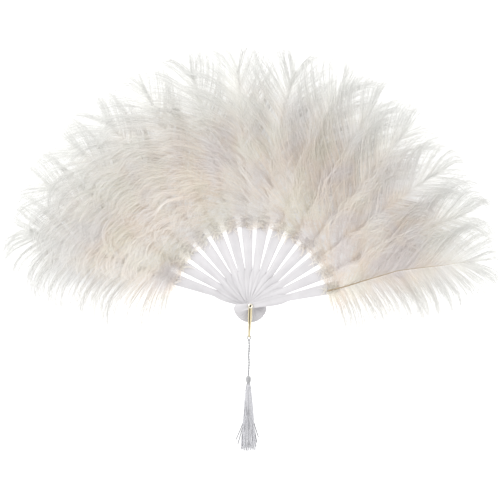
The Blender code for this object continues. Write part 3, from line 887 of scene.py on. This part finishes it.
def make_vane(index, side, rng):
    """Centre lines and looks of one vane's barbs, which cling together in strands and locks."""
    outer = is_outer(index, side)
    barb_count = BARBS_LEFT if side > 0 else BARBS_RIGHT
    if outer:
        barb_count = BARBS_OUTER
    count = LOCKS_A_VANE
    lock_at = (np.arange(count) + 0.5 + rng.uniform(-0.4, 0.4, count)) / count
    loose = (0.35 if outer else 1) * (1 - 0.5 * ease(lock_at, 0.5, 0.9))
    lock_bend = rng.normal(0, LOCK_SPREAD, (3, count)) * loose
    hooked = 2.5 if side > 0 and ENDS_TURNED[index] < 0 else 0.65
    lock_bend[2] += 8 + hooked * side * min(ENDS_TURNED[index], 40)
    ragged = 0 if outer else 0.10 * (1 - ease(lock_at, 0.5, 0.75))
    lock_stretch = rng.uniform(0.95, 1.05, count) - rng.uniform(0, 1, count) * ragged
    lock_lift = rng.uniform(-1, 1, count)
    lock_tone = rng.normal(0, 1, count)
    locks = sweep_barbs(index, side, lock_at, lock_bend, lock_stretch)

    count = barb_count // (5 if outer else 6)
    strand_at = crowd((np.arange(count) + rng.uniform(0.15, 0.85, count)) / count, index, side)
    of_lock = np.abs((strand_at + rng.normal(0, 0.012, count))[:, None] - lock_at).argmin(axis=1)
    strand_bend = lock_bend[:, of_lock] + rng.normal(0, STRAND_SPREAD, (3, count))
    strand_stretch = lock_stretch[of_lock] * (1.06 - rng.uniform(0, 0.16, count) * spread(strand_at))
    strand_lift = 0.35 * lock_lift[of_lock] + 0.5 * rng.uniform(-1, 1, count)
    strand_tone = 0.25 * lock_tone[of_lock] + 0.9 * rng.normal(0, 1, count)
    strand_hold = rng.uniform(0.76, 0.97, count)
    strand_hold *= 0.9 if outer else 0.40 + 0.60 * ease(strand_at, 0.3, 0.75)
    strand_hold *= 1 - 0.65 * ease(strand_at, 0.7, 0.95)
    strands = sweep_barbs(index, side, strand_at, strand_bend, strand_stretch)
    clump = (0.16 if outer else 0.34) * rng.uniform(0, 1, count) * (1 - 0.8 * ease(strand_at, 0.6, 0.9))
    strands += (locks[of_lock] - strands) * clump[:, None, None] * ALONG[..., None] ** 2

    count = barb_count
    share = crowd((np.arange(count) + rng.uniform(0, 1, count)) / count, index, side)
    strand = np.abs((share + rng.normal(0, 0.004, count))[:, None] - strand_at).argmin(axis=1)
    stray = rng.random(count) < STRAYS
    uneven = np.where(stray, STRAY_SPREAD, BARB_SPREAD)
    bend = strand_bend[:, strand]
    bend[:2] += rng.normal(0, uneven[:2])
    if not outer:
        # The down near the foot is tousled.
        bend[0] += rng.normal(0, 14, count) * (1 - ease(share, 0.2, 0.5))
        bend[1] += rng.normal(0, 26, count) * (1 - ease(share, 0.2, 0.6))
    bend[2] += rng.normal(0, uneven[2])
    stretch = strand_stretch[strand] * (1.04 - rng.uniform(0, 0.24, count) * spread(share))
    barbs = sweep_barbs(index, side, share, bend, stretch)
    hold = np.where(stray, 0.1, strand_hold[strand])[:, None, None]
    barbs += (strands[strand] - barbs) * hold * ALONG[..., None] ** 1.7
    if index < PLUMES - 1:
        # The roots cross over the quill, so that the down of both vanes hides it.
        cross = rng.uniform(0.4, 3.0, count) + rng.uniform(0, 5, count) * (1 - ease(share, 0.2, 0.6))
        barbs[..., 1] -= side * cross[:, None] * (1 - ALONG) ** 2

    lift = strand_lift[strand] + 0.35 * rng.uniform(-1, 1, count)
    tone = strand_tone[strand] + 0.5 * rng.normal(0, 1, count)
    reach = np.linalg.norm(barbs, axis=2)
    # The longest barbs curl back, some sooner than others, so that the fan's outline stays round.
    outline = OUTLINE_AT_ENDS if index in (0, PLUMES - 1) else OUTLINE
    free = outline + rng.normal(0, OUTLINE_SPREAD, (count, 1))
    curled = free + OUTLINE_CURL * np.tanh((reach - free) / OUTLINE_CURL)
    curled = np.where(reach > free, curled, reach)
    barbs *= (curled / reach)[..., None]
    lean = np.degrees(np.arctan2(barbs[..., 1], barbs[..., 0]))
    middle, half = plume_bed(index, curled, lean)
    rise = ALONG**0.6 * (1.15 - 0.3 * ALONG)
    tip_rise = rng.normal(0, 1.6, count)[:, None] * ALONG**3
    height = middle + lift[:, None] * half * rise * 1.3 + tip_rise
    if index == PLUMES - 1:
        height -= 0.5 * half * (1 - ALONG) ** 2
    place = to_frame(index, barbs[..., 0], barbs[..., 1], np.maximum(height, LOWEST_BARB))
    # The barbules are longest near the plume's foot, where the vane is nearly all down.
    downy = 1 + (0 if outer else 0.6) * (1 - ease(share, 0.15, 0.5))
    return place, *shade_vane(index, outer, share, curled, tone), downy


def make_tuft(index, rng):
    """Centre lines and looks of the short down that hides the quill's cut end and the glue."""
    count = TUFT_BARBS
    at = rng.uniform(0, 1, count) ** 1.3
    root = np.stack([PLUME_START + TUFT_LENGTH * at, rng.normal(0, TUFT_SPREAD, count)], axis=1)
    side = np.where(rng.random(count) < 0.5, -1.0, 1.0)
    leave = np.radians(rng.uniform(70, 168, count) - 34 * at)
    bend = np.radians(rng.normal(0, 34, count))
    length = rng.uniform(5, 13, count) + 9 * (rng.random(count) < 0.3)
    facing = side[:, None] * (leave[:, None] + bend[:, None] * ALONG)
    moves = np.stack([np.cos(facing), np.sin(facing)], axis=-1)
    moves *= (length / (BARB_STEPS - 1))[:, None, None]
    path = root[:, None] + np.cumsum(moves, axis=1) - moves[:, :1]
    over_stick = FIRST_STICK_TOP + index * STICK_PITCH
    height = over_stick + 0.8 + rng.uniform(0.3, 2.8, (count, 1)) * ease(ALONG, -0.3, 0.5)
    place = to_frame(index, path[..., 0], path[..., 1], height)
    tone = rng.normal(0.8, 0.8, (count, 1)).repeat(BARB_STEPS, axis=1)
    return place, tone, np.full(tone.shape, 0.6), np.zeros(tone.shape), np.ones(count)


def barb_axes(centres):
    """The way each barb faces and two ways across it."""
    facing = unit(np.gradient(centres, axis=1), 1e-9)
    across = unit(np.cross(facing, (0.0, 0.0, 1.0)), 1e-9)
    return facing, across, np.cross(across, facing)


def barb_ribbons(centres, rng):
    """Thin ribbons along the barbs, tapering to their ends and rolled a little."""
    count = len(centres)
    _, across, over = barb_axes(centres)
    roll = rng.uniform(-0.9, 0.9, (count, 1)) + rng.uniform(-0.6, 0.6, (count, 1)) * ALONG
    width = BARB_WIDTH * rng.uniform(0.8, 1.2, (count, 1))
    width = width * np.interp(ALONG, BARB_TAPER_AT, BARB_TAPER)
    half = (width / 2)[..., None] * swing(roll, across, over)
    points = np.stack([centres - half, centres + half], axis=2).reshape(-1, 3)
    first = np.arange(count)[:, None] * (2 * BARB_STEPS) + 2 * np.arange(BARB_STEPS - 1)[None]
    faces = np.stack([first, first + 1, first + 3, first + 2], axis=-1).reshape(-1, 4)
    return points, faces


def barb_down(centres, downy, rng):
    """Barbules: fine pointed hairs that stand out on both sides of every barb."""
    count = len(centres)
    facing, across, over = barb_axes(centres)
    at = np.sort(rng.uniform(0.04, 0.995, (count, BARBULES_A_BARB)), axis=1) * (BARB_STEPS - 1)
    low = np.floor(at).astype(int)
    part = (at - low)[..., None]
    row = np.arange(count)[:, None]

    def between(values):
        return values[row, low] * (1 - part) + values[row, low + 1] * part

    root = between(centres)
    ahead = between(facing)
    sway = rng.uniform(-1.1, 1.1, at.shape)
    sideways = np.where(rng.random(at.shape) < 0.5, -1.0, 1.0) * np.cos(sway)
    out = sideways[..., None] * between(across) + np.sin(sway)[..., None] * between(over)
    slant = np.radians(rng.uniform(*BARBULE_SLANT, at.shape))
    way = swing(slant, ahead, out)
    length = rng.uniform(0.4, 1.0, at.shape) * np.interp(at, BARBULE_AT, BARBULE_LENGTH)
    length *= downy[:, None]
    base = (0.5 * rng.uniform(*BARBULE_WIDTH, at.shape))[..., None] * ahead
    points = np.stack([root - base, root + base, root + length[..., None] * way], axis=2)
    points[..., 2] = np.maximum(points[..., 2], LOWEST_DOWN)
    return points.reshape(-1, 3), np.arange(3 * at.size).reshape(-1, 3)


def plume_finish():
    """Barbs: warm ivory near the foot, paler and cooler at the tips, darkened by painted shade, and
    letting light through.
    """
    finish, nodes, shader = new_finish("plume_barbs", Roughness=0.75, Specular_IOR_Level=0.25)
    place = add_node(nodes, "TexCoord")
    cloud = add_node(nodes, "TexNoise", Scale=17, Detail=3)
    cloudy = add_node(nodes, "MapRange", From_Min=0.35, From_Max=0.65, To_Min=0.5, To_Max=1.3)
    warm = add_node(nodes, "Attribute", {"attribute_name": "warm"})
    warmth = add_node(nodes, "Math", {"operation": "MULTIPLY", "use_clamp": True})
    patch = add_node(nodes, "TexNoise", Scale=24, Detail=2)
    # The warm inner colours are the down's own colour, and a little darker too, as painted shade in the
    # fan's thick middle.
    inner = add_ramp(
        nodes, (0.36, (0.865, 0.825, 0.81)), (0.64, (0.895, 0.86, 0.785)), (0.5, (0.895, 0.83, 0.765))
    )
    tint = add_node(nodes, "Mix", {"data_type": "RGBA"}, A=(0.955, 0.955, 0.938, 1))
    # The tone darkens or lightens the colour: at random by lock, strand and barb, and as painted light and
    # shade by plume, in the valleys over the quills and on bare shafts.
    tone = add_node(nodes, "Attribute", {"attribute_name": "tone"})
    shade = add_node(nodes, "Math", {"operation": "MULTIPLY_ADD"})
    shade.inputs[1].default_value = 0.03
    shade.inputs[2].default_value = 0.97
    shaded = add_node(nodes, "Mix", {"data_type": "RGBA", "blend_type": "MULTIPLY"}, Factor=1)
    link(place, "Object", cloud, "Vector")
    link(place, "Object", patch, "Vector")
    link(patch, "Fac", inner, "Fac")
    link(inner, "Color", tint, "B")
    link(cloud, "Fac", cloudy, "Value")
    link(warm, "Fac", warmth, 0)
    link(cloudy, 0, warmth, 1)
    link(warmth, 0, tint, "Factor")
    link(tone, "Fac", shade, 0)
    link(tint, "Result", shaded, "A")
    link(shade, 0, shaded, "B")
    link(shaded, "Result", shader, "Base Color")
    let_light_through(nodes, shader, shaded, "Result", 0.42)
    return finish


def quill_finish():
    """The horny quill: a greyed tan with darker flecks, paler where the down covers it."""
    finish, nodes, shader = new_finish("quill_tan", Roughness=0.38)
    place = add_node(nodes, "TexCoord")
    flecks = add_node(nodes, "TexNoise", Scale=120)
    tan = add_ramp(nodes, (0, (0.29, 0.22, 0.14)), (1, (0.43, 0.34, 0.23)))
    horn = add_node(nodes, "Attribute", {"attribute_name": "warm"})
    pale = add_node(nodes, "Mix", {"data_type": "RGBA"}, A=(0.80, 0.77, 0.70, 1))
    link(place, "Object", flecks, "Vector")
    link(flecks, "Fac", tan, "Fac")
    link(horn, "Fac", pale, "Factor")
    link(tan, "Color", pale, "B")
    link(pale, "Result", shader, "Base Color")
    return finish


def plume_quill(index):
    """The quill, from its cut end on the stick to where the tip's barbs leave it."""
    share = np.linspace(0, 1, QUILL_STEPS)
    plan, _ = quill_point(index, share)
    reach = np.linalg.norm(plan, axis=1)
    lean = np.degrees(np.arctan2(plan[:, 1], plan[:, 0]))
    middle, half = plume_bed(index, reach, lean)
    # The last plume's quill shows above its barbs, and the others lie under theirs.
    above = 0.35 * half if index == PLUMES - 1 else -1.0 * half
    centres = to_frame(index, plan[:, 0], plan[:, 1], middle + above)
    radii = QUILL_RADIUS[0] + (QUILL_RADIUS[1] - QUILL_RADIUS[0]) * share**0.7
    points, faces = round_strand(centres, radii, QUILL_SIDES)
    horny = 0.6 * (1 - ease(reach, 102, 122))
    if index == PLUMES - 1:
        horny = 1 - ease(reach, 240, 300)
    return points, faces, horny.repeat(QUILL_SIDES)


barb_white = plume_finish()
quill_tan = quill_finish()
for index in range(PLUMES):
    rng = np.random.default_rng(400 + index)
    vanes = [make_vane(index, side, rng) for side in (1, -1)] + [make_tuft(index, rng)]
    centres, tones, warmth, clearness, downy = (np.concatenate(rows) for rows in zip(*vanes))
    barb_points, barb_faces = barb_ribbons(centres, rng)
    down_points, down_faces = barb_down(centres, downy, rng)
    quill_points, quill_faces, horny = plume_quill(index)

    name = f"plume_{index + 1:02d}"
    mesh = bpy.data.meshes.new(name + "_barbs")
    points = np.concatenate([barb_points, down_points, quill_points]) / 1000
    faces = barb_faces.tolist() + (down_faces + len(barb_points)).tolist()
    fluff = len(faces)
    faces += [[c + len(barb_points) + len(down_points) for c in face] for face in quill_faces]
    mesh.from_pydata(points.tolist(), [], faces)
    mesh.materials.append(barb_white)
    mesh.materials.append(quill_tan)
    slots = np.zeros(len(faces), np.int32)
    slots[fluff:] = 1
    mesh.polygons.foreach_set("material_index", slots)
    # A ribbon has two points for each step of its barb. A barbule has three, and takes the looks
    # of about the step that it grows from.
    near = np.linspace(0, BARB_STEPS - 1, BARBULES_A_BARB).astype(int)
    shafts = (tones - SHAFT_SHADE * clearness).repeat(2, axis=1)
    for layer, on_barbs, on_down, on_quill in (
        ("warm", warmth.repeat(2, axis=1), warmth[:, near].repeat(3, axis=1), horny),
        ("tone", shafts, tones[:, near].repeat(3, axis=1), np.zeros(len(quill_points))),
    ):
        add_layer(mesh, layer, np.concatenate([on_barbs.ravel(), on_down.ravel(), on_quill]))
    mesh.shade_smooth()
    plume = place_mesh(name + "_feather", mesh)
    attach(plume, f"leaf_{index + 1:02d}")
    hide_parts(name)
